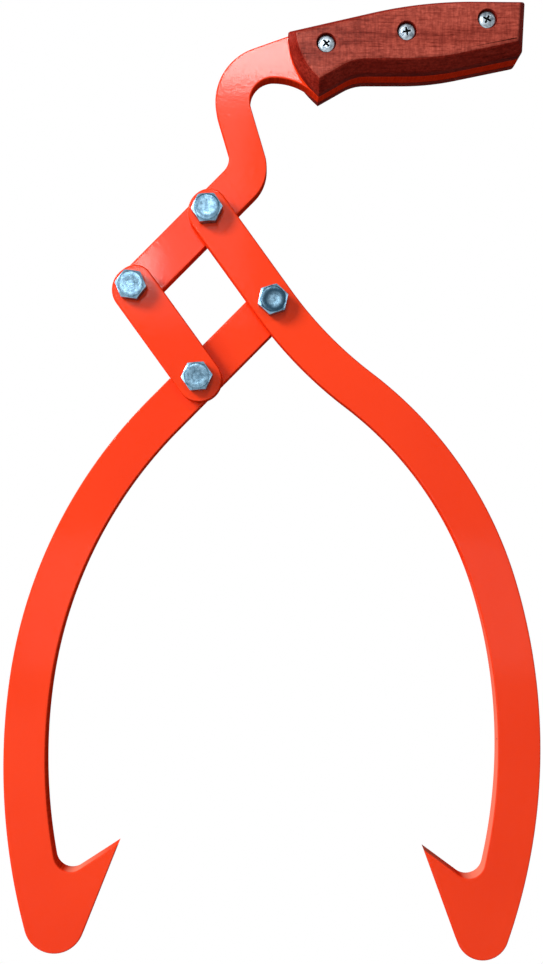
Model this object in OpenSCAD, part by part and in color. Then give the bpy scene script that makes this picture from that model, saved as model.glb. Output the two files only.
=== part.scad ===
// Skidding tongs: two curved flat-bar tines, hung on a four-bolt parallelogram below a wooden saw-type grip.
// The origin is the middle of the grip, on its middle screw. +Z is up, +X points to the rear of the grip
// and -Y is the front. The flat bars lie in two layers: the handle bar and the left tine at the back,
// the right tine and the link in front of them.

/* [Linkage] */
// Distance between the two holes of the handle bar, and of the left tine
pitch_short = 59; // [52:1:70]
// Distance between the two holes of the right tine, and of the link
pitch_long = 61.6; // [54:0.2:74]
// Slope of the lever, the lower end of the handle bar, from level
lever_slope = 45.2; // [35:0.2:55]
// Angle between the lever and the right tine as the tongs are shown
open_angle = 80.6; // [60:0.2:100]
// Distance of the top bolt to the left of the grip's middle
top_bolt_left = 109.2; // [100:0.2:125]
// Distance of the top bolt below the grip's middle
top_bolt_drop = 96.9; // [90:0.2:115]

/* [Flat bars] */
// Thickness of every flat bar
plate_t = 8; // [5:0.5:12]
// Play between the front and the back layer of bars
layer_play = 0.3; // [0.1:0.05:0.6]
// Width of both tines
tine_w = 23.5; // [21:0.5:28]
// Width of the lever
lever_w = 22.6; // [21:0.2:28]
// Width of the link
link_w = 25; // [21:0.5:28]
// Extra length of the link past its lower hole
link_tail = 1.3; // [0:0.1:5]
// Length of the link past its upper hole
link_head = 10.6; // [10:0.1:14]
// Length of the right tine past its upper hole
eye_head = 11.2; // [10:0.1:14]
// Corner radius of those two ends on the lever's side
end_wide_r = 13; // [10:0.5:14]
// Corner radius of those two ends on the other side
end_tight_r = 10; // [9:0.5:11]

/* [Neck and crook of the handle bar] */
// Width of the neck
neck_w = 19.5; // [15:0.5:24]
// Lean of the neck to the left, from upright
neck_lean = 16.5; // [8:0.5:24]
// Distance of the neck's middle to the right of the top bolt
neck_right = 17.6; // [14:0.2:22]
// Height above the top bolt at which that distance is taken
neck_up = 46.2; // [40:0.2:52]
// Outer radius of the bend from the lever to the neck
elbow_out_r = 24; // [12:1:32]
// Inner radius of the same bend
elbow_in_r = 10; // [6:1:20]
// Outer radius of the crook
crook_r = 31.5; // [20:0.5:34]
// Slope of the crook's top edge where it runs into the grip
crook_slope = 19.5; // [12:0.5:26]
// Distance of the throat's ceiling below the grip's middle
throat_drop = 20.4; // [16:0.2:23]
// Radius of the throat beside the neck
throat_r = 13; // [8:0.5:14]
// Radius of the throat where it falls to the spur
throat_arch_r = 34; // [20:1:36]

/* [Grip] */
// Length of the grip in front of its middle
grip_front_length = 65; // [60:0.5:75]
// Length of the grip behind its middle
grip_rear_length = 66.4; // [60:0.2:75]
// Height of the grip's top front corner above its middle
grip_front_top = 2.9; // [0:0.1:6]
// Height of the grip's top rear corner above its middle
grip_rear_top = 19.5; // [16:0.5:24]
// Distance of the top's crown behind the grip's middle
crown_back = 10; // [0:1:25]
// Radius of the crown
crown_r = 250; // [60:10:280]
// Drop of the lower rear corner below the grip's middle
grip_rear_drop = 9.7; // [6:0.5:14]
// Drop of the belly below the grip's middle
belly_drop = 19.8; // [16:0.2:24]
// Distance of the belly's end behind the grip's middle
belly_back = 16; // [5:1:25]
// Radius of the belly
belly_r = 150; // [60:10:180]
// Distance of the finger notch in front of the grip's middle
notch_front = 27.5; // [22:0.5:32]
// Radius of the finger notch
notch_r = 25; // [10:1:30]
// Distance of the spur's tip in front of the grip's middle
spur_front = 47.6; // [42:0.2:50]
// Drop of the spur's tip below the grip's middle
spur_drop = 31.2; // [27:0.2:34]
// Corner radius of the spur's tip
spur_r = 0.5; // [0.3:0.1:1.5]
// How far the grip's front end bulges
front_bulge = 3.3; // [1:0.1:5]
// Small corner radius of the grip
corner_r = 1.5; // [0.5:0.1:2.5]
// Thickness of one wooden scale
scale_t = 12; // [9:0.5:16]
// Depth of the flat edge beside the handle bar, where a scale keeps its full outline
scale_edge = 4.5; // [2:0.5:7]
// Width of the bevel along the top
bevel_top = 4.4; // [2:0.2:6]
// Width of the bevel along the bottom
bevel_bottom = 4.8; // [2:0.2:6]
// Width of the bevel at the front end
bevel_front = 3.7; // [2:0.1:6]
// Width of the bevel at the rear end
bevel_rear = 4; // [2:0.2:6]

/* [Grip screws] */
// Distance between neighbouring grip screws
screw_pitch = 44.5; // [36:0.5:48]
// Slope of the row of grip screws
screw_slope = 8.5; // [4:0.5:12]
// Diameter of the screw heads and of the sleeve nuts' heads
screw_head_d = 10; // [8:0.5:12]
// Height of those heads
screw_head_h = 2.4; // [1.5:0.1:3]
// Depth of each head's face below the face of its scale
head_sunk = 0.7; // [0.3:0.1:2]
// Diameter of the counterbored recess round a head
recess_d = 10.8; // [10.6:0.1:13]
// Outer diameter of the sleeve nut's barrel
sleeve_d = 6; // [5:0.5:7.5]
// Diameter of the screw's shank
screw_d = 4; // [3:0.5:4.5]
// Length of the screw's shank inside the sleeve
screw_grip = 12; // [6:0.5:18]
// Distance of the sleeve's end from the underside of the screw head
sleeve_short = 3; // [1:0.5:6]
// Length of the cross recess's arms
cross_arm = 5.2; // [3:0.2:6]
// Width of the cross recess's slots
cross_slot = 1.2; // [0.8:0.1:1.6]
// Depth of the cross recess
cross_depth = 1.5; // [0.8:0.1:2]

/* [Right tine] */
// Length of the straight end
right_straight = 63; // [62:0.5:75]
// Radius of the outward bend
right_bend_r = 226; // [150:2:300]
// Angle of the outward bend
right_bend_angle = 17; // [8:0.5:26]
// Radius of the shoulder
right_shoulder_r = 212; // [150:2:300]
// Angle of the shoulder
right_shoulder_angle = 36; // [28:0.5:44]
// Radius of the lower sweep
right_sweep_r = 312; // [220:2:380]
// Radius of the inner edge along the lower sweep
right_inner_r = 295; // [200:1:370]
// Angle of the lower sweep, down to the hook's throat
right_sweep_angle = 29.1; // [22:0.1:36]
// Length along the lower sweep from the throat to the heel
right_heel_run = 37.8; // [28:0.2:48]
// Length of the straight edge from the throat to the tip
right_reach = 23.9; // [18:0.1:34]
// Radius of the heel under the hook
right_heel_r = 14.6; // [9:0.2:18]

/* [Left tine] */
// Length of the straight end
left_straight = 87.5; // [70:0.5:110]
// Radius of the shoulder
left_shoulder_r = 265; // [180:2:320]
// Angle of the shoulder
left_shoulder_angle = 37; // [28:0.5:44]
// Radius of the lower sweep
left_sweep_r = 344; // [240:2:420]
// Radius of the inner edge along the lower sweep, tighter, so that the tine widens towards its hook
left_inner_r = 305; // [220:1:400]
// Angle of the lower sweep, down to the hook's throat
left_sweep_angle = 16.6; // [12:0.1:24]
// Length along the lower sweep from the throat to the heel
left_heel_run = 36.8; // [28:0.2:48]
// Length of the straight edge from the throat to the tip
left_reach = 26.5; // [18:0.1:36]
// Radius of the heel under the hook
left_heel_r = 17; // [10:0.2:20]

/* [Hooks] */
// Radius of the throat inside each hook
hook_throat_r = 9; // [4:0.5:12]
// Angle through which the inner edge turns in the throat
hook_turn_angle = 114; // [100:0.5:122]

/* [Pivot bolts] */
// Diameter of the bolts
bolt_d = 10; // [8:0.5:11]
// Width of the bolt heads and nuts across flats
hex_af = 15; // [14:0.5:18]
// Height of the bolt heads
head_h = 6.4; // [5:0.2:8]
// Chamfer at the corners of heads and nuts, measured along the bolt
hex_chamfer = 1.1; // [0.5:0.1:1.6]
// Diameter of the dish in the top of a bolt head
dish_d = 9; // [5:0.5:11]
// Depth of that dish
dish_depth = 0.3; // [0.2:0.1:1]
// Turn of the top bolt's head and nut, from two corners level
top_turn_angle = 3.5; // [-30:0.5:30]
// Turn of the left bolt's head and nut
left_turn_angle = -8; // [-30:0.5:30]
// Turn of the right bolt's head and nut
right_turn_angle = 17.5; // [-30:0.5:30]
// Turn of the bottom bolt's head and nut
bottom_turn_angle = 4.7; // [-30:0.1:30]
// Running clearance round a bolt in the bars, on the diameter
bore_play = 0.15; // [0.05:0.01:0.2]
// Clearance in the link's lower hole, on the diameter
link_play = 0.5; // [0.2:0.05:1]
// Play under the bolt heads
head_play = 0.1; // [0.05:0.05:0.3]
// Outer diameter of the washers
washer_d = 20; // [17:0.5:22]
// Thickness of the washers
washer_t = 2; // [1:0.1:3]
// Clearance round a bolt in its washer, on the diameter
washer_play = 0.5; // [0.2:0.1:1]
// Height of the nuts' hexagon
nut_hex_h = 7; // [5:0.5:9]
// Height of the collar that holds the nylon ring
nut_collar_h = 3; // [2:0.1:4]
// Wall of that collar
collar_wall = 0.9; // [0.6:0.1:1.2]
// Turned-in lip that keeps the nylon ring in its collar
collar_lip = 0.6; // [0.4:0.1:1]
// Length of bolt that stands out of the nut
bolt_end = 1.6; // [0.5:0.1:4]

/* [Hidden] */

$fn = 64;
paint = [0.95, 0.24, 0.10];
wood = [0.52, 0.20, 0.13];
zinc = [0.72, 0.80, 0.86];
nylon = [0.20, 0.35, 0.75];

// Fit of one fixed piece in another, on the diameter, and how far a cutter runs past what it cuts
fit = 0.1;
past = 1;
// Longest chord on a wide arc, and largest angle of one chord on a tight one
arc_chord = 8;
arc_step = 9;

// Depths of the layers, from the grip's middle plane towards the back
back_face = plate_t / 2;
back_layer = -plate_t / 2;
front_layer_back = back_layer - layer_play;
front_face = front_layer_back - plate_t;

// The four bolts: the top and left ones carry the handle bar, the right and bottom ones the left tine
lever_dir = 180 + lever_slope;
tine_dir = lever_dir + open_angle;
top_bolt = [-top_bolt_left, -top_bolt_drop];
left_bolt = top_bolt + pitch_short * along(lever_dir);
right_bolt = top_bolt + pitch_long * along(tine_dir);
bottom_bolt = left_bolt + pitch_long * along(tine_dir);

function along(a) = [cos(a), sin(a)];
function across(a) = [-sin(a), cos(a)];
function cross2(u, v) = u[0] * v[1] - u[1] * v[0];

// The point where the line through p at angle a meets the line through q at angle b
function meet(p, a, q, b) = p + along(a) * cross2(q - p, along(b)) / cross2(along(a), along(b));

// Points on an arc round centre c from angle a to angle b
function arc(c, r, a, b) =
    let (n = max(ceil(abs(b - a) / arc_step), ceil(abs(b - a) * PI / 180 * r / arc_chord), 2))
    [for (i = [0 : n]) c + r * along(a + (b - a) * i / n)];

// The signed turn of an outline at corner q, between p and s
function turn_at(p, q, s) = atan2(cross2(q - p, s - q), (q - p) * (s - q));

// Corner q of an outline, rounded to radius r between its neighbours p and s, anticlockwise outline
function rounded_corner(p, q, s, r) =
    let (turn = turn_at(p, q, s), u = (q - p) / norm(q - p), side = sign(turn))
    let (start = q - u * r * tan(abs(turn) / 2))
    let (c = start + side * r * [-u[1], u[0]], a = atan2(start[1] - c[1], start[0] - c[0]))
    let (n = max(ceil(abs(turn) / arc_step), 4))
    [for (i = [0 : n]) c + r * along(a + turn * i / n)];

// A closed outline whose corners, each [point, radius], are rounded
function rounded(corners) =
    let (n = len(corners))
    [for (i = [0 : n - 1])
        let (q = corners[i])
        each rounded_corner(corners[(i + n - 1) % n][0], q[0], corners[(i + 1) % n][0], q[1])];

// The grip's outline, anticlockwise from the spur. Each corner has the width of the bevel on the edge
// that follows it
grip_front = -grip_front_length;
grip_rear = grip_rear_length;
spur = [-spur_front, -spur_drop];
top_front = [grip_front, grip_front_top];
bulge_mid = (spur + top_front) / 2;
bulge_out = [spur[1] - top_front[1], top_front[0] - spur[0]] / norm(top_front - spur);
bulge_corner = bulge_mid + 2 * front_bulge * bulge_out;
bulge_r = 0.75 * norm(bulge_mid - spur) * norm(bulge_corner - spur) / (2 * front_bulge);
grip_corners = [
    [spur, spur_r, bevel_bottom],
    [[-notch_front, -belly_drop], notch_r, bevel_bottom],
    [[belly_back, -belly_drop], belly_r, bevel_bottom],
    [[grip_rear - corner_r, -grip_rear_drop], 2 * corner_r, bevel_rear],
    [[grip_rear, grip_rear_top], corner_r, bevel_top],
    [[crown_back, grip_rear_top + corner_r / 3], crown_r, bevel_top],
    [top_front, corner_r, bevel_front],
    [bulge_corner, bulge_r, bevel_front]];

// The same corners moved in by the bevels: edges stay parallel, so each corner keeps its turn
function moved_in(corners) =
    let (n = len(corners))
    [for (i = [0 : n - 1])
        let (p = corners[(i + n - 1) % n], q = corners[i], s = corners[(i + 1) % n])
        let (u = (q[0] - p[0]) / norm(q[0] - p[0]), v = (s[0] - q[0]) / norm(s[0] - q[0]))
        let (m1 = [-u[1], u[0]], m2 = [-v[1], v[0]], w1 = p[2], w2 = q[2])
        let (shift = [w1 * m2[1] - w2 * m1[1], w2 * m1[0] - w1 * m2[0]] / cross2(m1, m2))
        [q[0] + shift, turn_at(p[0], q[0], s[0]) > 0 ? max(q[1] - w2, 0.4) : q[1] + w2]];

grip_outline = rounded(grip_corners);
face_outline = rounded(moved_in(grip_corners));

// The handle bar's outline: the grip's outline on the tang, then the crook, the neck and the lever
neck_dir = 90 + neck_lean;
neck_mid = top_bolt + [neck_right, neck_up];
neck_left = neck_mid + neck_w / 2 * across(neck_dir);
neck_right_side = neck_mid - neck_w / 2 * across(neck_dir);
lever_upper = top_bolt - lever_w / 2 * across(lever_dir);
lever_lower = top_bolt + lever_w / 2 * across(lever_dir);
lever_tip = left_bolt + lever_w / 2 * along(lever_dir);
throat_line = [0, -throat_drop];
spur_dir = atan2(spur[1] + throat_drop, spur_front / 5.3 + 4.3);
throat_corner = meet(spur, spur_dir, throat_line, 0);
handle_corners = concat(
    [for (c = grip_corners) if (c[0] != bulge_corner && c[0] != top_front) [c[0], c[1]]],
    [[top_front, crook_r],
    [meet(neck_left, neck_dir, top_front, crook_slope), crook_r],
    [meet(neck_left, neck_dir, lever_upper, lever_dir), elbow_in_r],
    [lever_tip - lever_w / 2 * across(lever_dir), 0.49 * lever_w],
    [lever_tip + lever_w / 2 * across(lever_dir), 0.49 * lever_w],
    [meet(neck_right_side, neck_dir, lever_lower, lever_dir), elbow_out_r],
    [meet(neck_right_side, neck_dir, throat_line, 0), throat_r],
    [throat_corner, throat_arch_r]]);

// A tine runs from its first hole along moves, each [length, 0] for a straight and [radius, turn] for a bend.
// A state is [point, heading]
function bend_centre(s, m) = s[0] + sign(m[1]) * m[0] * across(s[1]);
function moved(s, m) = m[1] == 0
    ? [s[0] + m[0] * along(s[1]), s[1]]
    : [bend_centre(s, m) - sign(m[1]) * m[0] * across(s[1] + m[1]), s[1] + m[1]];
function edge_points(s, m, off) = m[1] == 0
    ? [s[0] + off * across(s[1]), s[0] + m[0] * along(s[1]) + off * across(s[1])]
    : let (r = m[0] - sign(m[1]) * off, a = s[1] - sign(m[1]) * 90) arc(bend_centre(s, m), r, a, a + m[1]);
function edge_along(s, moves, off, i = 0) = i == len(moves)
    ? []
    : concat(edge_points(s, moves[i], off), edge_along(moved(s, moves[i]), moves, off, i + 1));
function end_state(s, moves, i = 0) = i == len(moves) ? s : end_state(moved(s, moves[i]), moves, i + 1);
function backwards(points) = [for (i = [len(points) - 1 : -1 : 0]) points[i]];
function without_last(points) = [for (i = [0 : len(points) - 2]) points[i]];

// The rounded end of a bar of width w round its hole, clockwise. The bar runs off along heading, the end lies
// reach behind the hole, and its corners have the radii r1, on the bar's right, and r2, on its left
function bar_end(hole, heading, w, reach, r1, r2) =
    let (right = hole - w / 2 * across(heading), left = hole + w / 2 * across(heading))
    let (back = -reach * along(heading))
    concat(rounded_corner(right, right + back, left + back, r1),
        rounded_corner(right + back, left + back, left, r2));

// Outline of a tine whose lower sweep turns clockwise: end, outer edge, heel, tip, throat, inner edge.
// The tip lies reach from the throat, and its lower side is the tangent from the tip to the heel
function tine_outline(end, hole, heading, moves, sweep_r, inner_r, sweep, heel_run, reach, heel_r) =
    let (start = [hole, heading], last = end_state(start, moves))
    let (c = bend_centre(last, [sweep_r, -sweep]), first = last[1] + 90)
    let (throat_a = first - sweep, heel_a = throat_a - heel_run / sweep_r * 180 / PI)
    let (inner_a = first - sweep * (sweep_r - tine_w / 2) / inner_r)
    let (inner_c = c + (sweep_r - tine_w / 2 - inner_r) * along(first))
    let (throat_c = inner_c + (inner_r - hook_throat_r) * along(inner_a))
    let (heel_c = c + (sweep_r + tine_w / 2 - heel_r) * along(heel_a))
    let (tip = throat_c + hook_throat_r * along(throat_a - hook_turn_angle)
        - reach * across(throat_a - hook_turn_angle))
    let (to_tip = tip - heel_c)
    let (tangent_a = atan2(to_tip[1], to_tip[0]) + acos(heel_r / norm(to_tip)) - 360)
    concat(
        end,
        edge_along(start, moves, tine_w / 2),
        arc(c, sweep_r + tine_w / 2, first, heel_a),
        arc(heel_c, heel_r, heel_a, tangent_a),
        [tip],
        arc(throat_c, hook_throat_r, throat_a - hook_turn_angle, inner_a),
        arc(inner_c, inner_r, inner_a, first),
        without_last(backwards(edge_along(start, moves, -tine_w / 2))));

right_moves = [[right_straight, 0], [right_bend_r, right_bend_angle],
    [right_shoulder_r, -right_shoulder_angle]];
right_end = bar_end(top_bolt, tine_dir - 360, tine_w, eye_head, end_wide_r, end_tight_r);
right_outline = tine_outline(right_end, top_bolt, tine_dir - 360, right_moves,
    right_sweep_r, right_inner_r, right_sweep_angle, right_heel_run, right_reach, right_heel_r);

// The left tine is worked out as its mirror image and then mirrored
left_moves = [[left_straight, 0], [left_shoulder_r, -left_shoulder_angle]];
left_hole = [-right_bolt[0], right_bolt[1]];
left_end = arc(left_hole, tine_w / 2, 90 - lever_dir, -90 - lever_dir);
left_image = tine_outline(left_end, left_hole, 180 - lever_dir, left_moves,
    left_sweep_r, left_inner_r, left_sweep_angle, left_heel_run, left_reach, left_heel_r);
left_outline = backwards([for (p = left_image) [-p[0], p[1]]]);

link_outline = concat(
    bar_end(left_bolt, tine_dir, link_w, link_head, end_wide_r, end_tight_r),
    arc(bottom_bolt + link_tail * along(tine_dir), link_w / 2, tine_dir + 90, tine_dir - 90));

// Depths of the pivot hardware
head_seat = front_face - head_play;
washer_back = back_face + washer_t;
collar_start = washer_back + nut_hex_h;
nut_back = collar_start + nut_collar_h;
bolt_tip = nut_back + bolt_end;
bore_d = bolt_d + bore_play;
collar_d = hex_af - 2 * hex_chamfer / 3;

// Depths of the grip hardware
scale_face = plate_t / 2 + scale_t;
head_floor = scale_face - head_sunk - screw_head_h;
sleeve_end = sleeve_short - head_floor;
screw_points = [for (i = [-1 : 1]) i * screw_pitch * along(screw_slope)];
post_hole_d = sleeve_d + fit;

// A flat plate of the given outline between two depths
module plate(outline, near, far) {
    translate([0, far, 0]) rotate([90, 0, 0]) linear_extrude(far - near) polygon(outline);
}

// A round rod along the depth axis at point p
module rod(p, d, near, far) {
    translate([p[0], near, p[1]]) rotate([-90, 0, 0]) cylinder(d = d, h = far - near);
}

// A hexagonal prism along the depth axis, turned anticlockwise as seen from the front
module hexagon(p, turn, near, far) {
    translate([p[0], near, p[1]]) rotate([0, -turn, 0]) rotate([-90, 0, 0])
        cylinder(d = hex_af / cos(30), h = far - near, $fn = 6);
}

// A turned piece along the depth axis; profile is a list of [radius, depth]
module turned(p, profile) {
    translate([p[0], 0, p[1]]) rotate([-90, 0, 0]) rotate_extrude() polygon(profile);
}

module drilled_plate(outline, near, far, holes) {
    difference() {
        plate(outline, near, far);
        for (h = holes) rod(h[0], h[1], near - past, far + past);
    }
}

module handle_bar() {
    holes = concat([[top_bolt, bore_d], [left_bolt, bore_d]], [for (p = screw_points) [p, post_hole_d]]);
    color(paint) drilled_plate(rounded(handle_corners), back_layer, back_face, holes);
}

module right_tine() {
    color(paint) drilled_plate(right_outline, front_face, front_layer_back,
        [[top_bolt, bore_d], [right_bolt, bore_d]]);
}

module left_tine() {
    color(paint) drilled_plate(left_outline, back_layer, back_face,
        [[right_bolt, bore_d], [bottom_bolt, bore_d]]);
}

module link() {
    color(paint) drilled_plate(link_outline, front_face, front_layer_back,
        [[left_bolt, bore_d], [bottom_bolt, bolt_d + link_play]]);
}

// The scale's body, on the front side: full outline up to scale_edge, then bevelled to its face
module scale_body() {
    n = len(grip_outline);
    rings = [[grip_outline, -plate_t / 2], [grip_outline, -plate_t / 2 - scale_edge],
        [face_outline, -scale_face]];
    points = [for (ring = rings) each [for (q = ring[0]) [q[0], ring[1], q[1]]]];
    walls = [for (k = [0 : len(rings) - 2], i = [0 : n - 1])
        [k * n + i, k * n + (i + 1) % n, (k + 1) * n + (i + 1) % n, (k + 1) * n + i]];
    last = (len(rings) - 1) * n;
    polyhedron(points, concat(walls, [[for (i = [n - 1 : -1 : 0]) i], [for (i = [0 : n - 1]) last + i]]),
        convexity = 4);
}

module front_scale() {
    difference() {
        scale_body();
        for (p = screw_points) {
            rod(p, post_hole_d, -scale_face - past, 0);
            rod(p, recess_d, -scale_face - past, -head_floor);
        }
    }
}

module grip_scale_front() {
    color(wood) front_scale();
}

module grip_scale_back() {
    color(wood) mirror([0, 1, 0]) front_scale();
}

// A domed head, its underside at the depth of the recess floor, as a profile for the front side
function dome(head_d, stem_d, stem_to) = [
    [0, stem_to], [stem_d / 2, stem_to], [stem_d / 2, -head_floor], [head_d / 2, -head_floor],
    [head_d / 2, -head_floor - screw_head_h / 2], [0.44 * head_d, -head_floor - 0.8 * screw_head_h],
    [0.3 * head_d, -head_floor - screw_head_h], [0, -head_floor - screw_head_h]];

// A grip screw comes from the front: domed head with a cross recess, and a shank down into its sleeve nut
module grip_screw(p) {
    color(zinc) difference() {
        turned(p, dome(screw_head_d, screw_d, sleeve_end + screw_grip));
        for (a = [0, 90]) translate([p[0], -head_floor - screw_head_h, p[1]]) rotate([0, a + 45, 0])
            cube([cross_arm, 2 * cross_depth, cross_slot], center = true);
    }
}

// Its sleeve nut comes from the back: a plain domed head on a barrel bored for the screw
module sleeve_nut(p) {
    color(zinc) difference() {
        mirror([0, 1, 0]) turned(p, dome(screw_head_d, sleeve_d, -sleeve_end));
        rod(p, screw_d + fit, sleeve_end - past, sleeve_end + screw_grip + sleeve_short);
    }
}

module grip_screw_front() { grip_screw(screw_points[0]); }
module grip_screw_middle() { grip_screw(screw_points[1]); }
module grip_screw_rear() { grip_screw(screw_points[2]); }
module sleeve_nut_front() { sleeve_nut(screw_points[0]); }
module sleeve_nut_middle() { sleeve_nut(screw_points[1]); }
module sleeve_nut_rear() { sleeve_nut(screw_points[2]); }

// The round envelope that chamfers a hexagon's corners at its near end, its far end, or both. It is wider
// than the corners, so that only its cones cut them
module chamfer_envelope(p, near, far, near_cut, far_cut) {
    corner = hex_af / cos(30) / 2;
    cut = corner - 0.45 * hex_af;
    wide = corner + past;
    fall = hex_chamfer * (cut + past) / cut;
    turned(p, [[0, near], [wide - near_cut * (cut + past), near], [wide, near + near_cut * fall],
        [wide, far - far_cut * fall], [wide - far_cut * (cut + past), far], [0, far]]);
}

// A hexagon bolt: chamfered and dished head in front, plain shank with a pointed end
module pivot_bolt(p, turn) {
    tip_cut = bolt_d / 10;
    color(zinc) union() {
        difference() {
            intersection() {
                hexagon(p, turn, head_seat - head_h, head_seat);
                chamfer_envelope(p, head_seat - head_h, head_seat, 1, 0);
            }
            rod(p, dish_d, head_seat - head_h - past, head_seat - head_h + dish_depth);
        }
        turned(p, [[0, head_seat - past], [bolt_d / 2, head_seat - past], [bolt_d / 2, bolt_tip - tip_cut],
            [bolt_d / 2 - tip_cut, bolt_tip], [0, bolt_tip]]);
    }
}

module washer(p) {
    color(zinc) difference() {
        rod(p, washer_d, back_face, washer_back);
        rod(p, bolt_d + washer_play, back_face - past, washer_back + past);
    }
}

// A lock nut: chamfered hexagon, and behind it a round collar whose lip keeps the nylon ring
module lock_nut(p, turn) {
    color(zinc) difference() {
        union() {
            intersection() {
                hexagon(p, turn, washer_back, collar_start);
                chamfer_envelope(p, washer_back, collar_start, 1, 1);
            }
            rod(p, collar_d, collar_start - past, nut_back);
        }
        rod(p, bolt_d + fit, washer_back - past, nut_back + past);
        rod(p, collar_d - 2 * collar_wall, collar_start, nut_back - collar_lip);
        rod(p, collar_d - 4 * collar_wall, collar_start, nut_back + past);
    }
}

module nylon_ring(p) {
    color(nylon) difference() {
        rod(p, collar_d - 2 * collar_wall - fit, collar_start, nut_back - collar_lip);
        rod(p, bolt_d + fit, collar_start - past, nut_back + past);
    }
}

module bolt_top() { pivot_bolt(top_bolt, top_turn_angle); }
module bolt_left() { pivot_bolt(left_bolt, left_turn_angle); }
module bolt_right() { pivot_bolt(right_bolt, right_turn_angle); }
module bolt_bottom() { pivot_bolt(bottom_bolt, bottom_turn_angle); }
module washer_top() { washer(top_bolt); }
module washer_left() { washer(left_bolt); }
module washer_right() { washer(right_bolt); }
module washer_bottom() { washer(bottom_bolt); }
module lock_nut_top() { lock_nut(top_bolt, top_turn_angle); }
module lock_nut_left() { lock_nut(left_bolt, left_turn_angle); }
module lock_nut_right() { lock_nut(right_bolt, right_turn_angle); }
module lock_nut_bottom() { lock_nut(bottom_bolt, bottom_turn_angle); }
module nylon_ring_top() { nylon_ring(top_bolt); }
module nylon_ring_left() { nylon_ring(left_bolt); }
module nylon_ring_right() { nylon_ring(right_bolt); }
module nylon_ring_bottom() { nylon_ring(bottom_bolt); }

handle_bar();
grip_scale_front();
grip_scale_back();
grip_screw_front();
grip_screw_middle();
grip_screw_rear();
sleeve_nut_front();
sleeve_nut_middle();
sleeve_nut_rear();
right_tine();
left_tine();
link();
bolt_top();
bolt_left();
bolt_right();
bolt_bottom();
washer_top();
washer_left();
washer_right();
washer_bottom();
lock_nut_top();
lock_nut_left();
lock_nut_right();
lock_nut_bottom();
nylon_ring_top();
nylon_ring_left();
nylon_ring_right();
nylon_ring_bottom();
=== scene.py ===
"""Skidding tongs: painted flat bars, bolted as a parallelogram, below a wooden saw-type grip.

The file follows the tool as it is put together: the handle bar, the wooden scales and their screws, the two
tines and the link, then the pivot bolts with their washers and lock nuts, and last the studio. Sizes are in
millimetres: places are (right, up) from the middle of the grip, and depths grow towards the back.
"""

import bpy
import numpy as np
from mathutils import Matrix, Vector
from mathutils.geometry import tessellate_polygon


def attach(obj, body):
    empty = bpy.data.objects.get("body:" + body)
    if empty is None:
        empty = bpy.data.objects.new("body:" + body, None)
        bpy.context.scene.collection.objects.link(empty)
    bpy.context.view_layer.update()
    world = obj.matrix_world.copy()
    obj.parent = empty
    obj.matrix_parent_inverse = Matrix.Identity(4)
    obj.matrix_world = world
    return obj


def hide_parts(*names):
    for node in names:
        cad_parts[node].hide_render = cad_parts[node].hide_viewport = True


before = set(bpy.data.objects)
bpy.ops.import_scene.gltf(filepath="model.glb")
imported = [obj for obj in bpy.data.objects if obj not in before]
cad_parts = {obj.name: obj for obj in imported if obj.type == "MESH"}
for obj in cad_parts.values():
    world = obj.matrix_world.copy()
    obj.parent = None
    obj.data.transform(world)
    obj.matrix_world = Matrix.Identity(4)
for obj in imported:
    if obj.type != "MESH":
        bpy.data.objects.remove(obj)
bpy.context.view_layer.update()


# ---- Handle bar
# One 8 mm steel bar, cut to shape and painted. It is the tang between the wooden scales, the crook over the
# index finger, the neck, and the lever with the upper two pivots. Its cut edges are rounded under the paint.

MM = 0.001
BACK_NEAR, BACK_FAR = -4.0, 4.0
BORE_R, SLEEVE_HOLE_R = 5.075, 3.05
FACE_STRIP, WALL_STRIP = 0.4, 0.5
HOLE_ROUND = 0.3
LEAST_AREA = 1e-9

LEVER_DIR, TINE_DIR, GRIP_TILT = 225.2, 305.8, 8.5
LEVER_ARM, TINE_ARM, SCREW_PITCH = 59.0, 61.6, 44.5
TOP_BOLT = np.array([-109.2, -96.9])


def along(degrees):
    """Unit vectors at these angles, anticlockwise from the right as seen from the front."""
    a = np.radians(degrees)
    return np.stack([np.cos(a), np.sin(a)], axis=-1)


def across(degrees):
    """Unit vectors a quarter turn to the left of these angles."""
    return along(np.asarray(degrees) + 90.0)


LEFT_BOLT = TOP_BOLT + LEVER_ARM * along(LEVER_DIR)
RIGHT_BOLT = TOP_BOLT + TINE_ARM * along(TINE_DIR)
BOTTOM_BOLT = LEFT_BOLT + TINE_ARM * along(TINE_DIR)
SCREWS = [step * SCREW_PITCH * along(GRIP_TILT) for step in (-1, 0, 1)]


def bend_steps(radius, turn, least):
    """How many straight steps draw a bend: each covers at most 4 degrees and 2.5 mm."""
    return int(max(np.ceil(turn / 4.0), np.ceil(np.radians(turn) * radius / 2.5), least))


def arc(centre, radius, start, end):
    """Points centre + radius x (cos a, sin a), with a running from start to end in even steps."""
    steps = bend_steps(radius, abs(end - start), 2)
    return np.asarray(centre) + radius * along(np.linspace(start, end, steps + 1))


def meet(p, a, q, b):
    """The point where the line through p at angle a crosses the line through q at angle b."""
    u, v, d = along(a), along(b), np.asarray(q) - np.asarray(p)
    return np.asarray(p) + u * (d[0] * v[1] - d[1] * v[0]) / (u[0] * v[1] - u[1] * v[0])


def turn_at(p, q, s):
    """Signed angle in degrees by which the way from p over q to s turns at q."""
    u, v = q - p, s - q
    return np.degrees(np.arctan2(u[0] * v[1] - u[1] * v[0], u @ v))


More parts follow.
